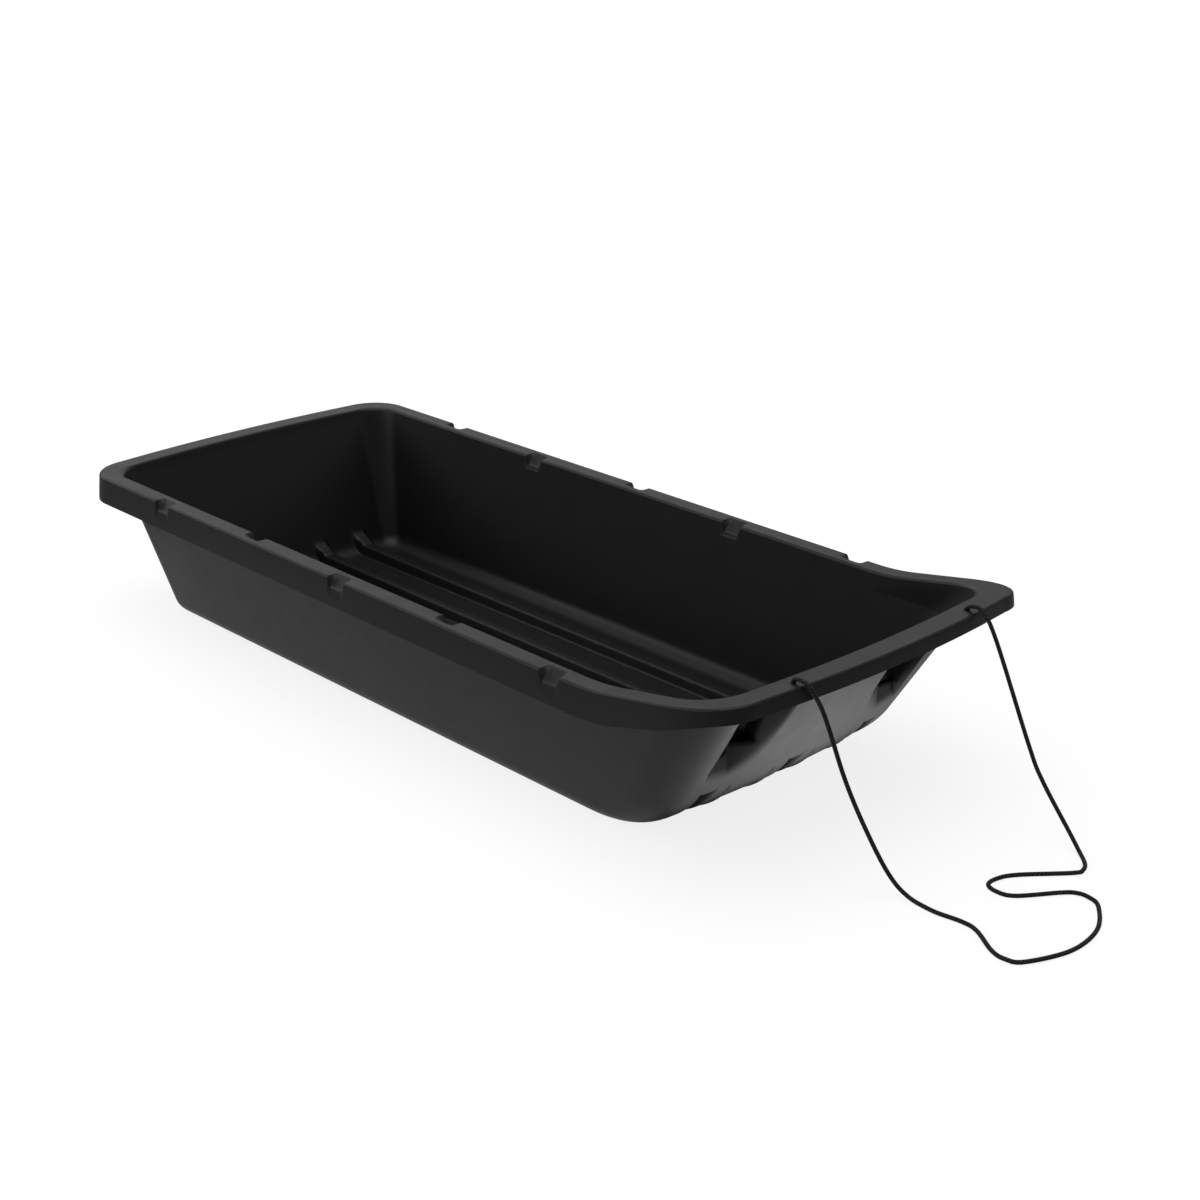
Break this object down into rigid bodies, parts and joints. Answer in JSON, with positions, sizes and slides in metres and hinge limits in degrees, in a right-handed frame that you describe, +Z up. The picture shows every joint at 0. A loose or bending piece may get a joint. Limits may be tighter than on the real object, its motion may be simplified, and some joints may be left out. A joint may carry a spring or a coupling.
{
  "type": "utility sled",
  "caption": "Moulded plastic tub sled with a notched flanged rim, runner grooves, an upswept bow and a tow rope knotted through the bow rim.",
  "frame": {"origin": "on the ground, under the middle of the hull's length and width", "axes": "+X toward the bow, where the rope is; +Y toward the sled's left side; +Z up"},
  "size_m": [1.8658, 0.6404, 0.2959],
  "materials": {
    "moulded_tub": "satin black, finely grained",
    "rope": "braided black synthetic cord with light flecks"
  },
  "bodies": {
    "root": {"sled_hull": "moulded_tub", "tow_rope": "rope", "rope_knot_right": "rope", "rope_knot_left": "rope"}
  },
  "joints": []
}
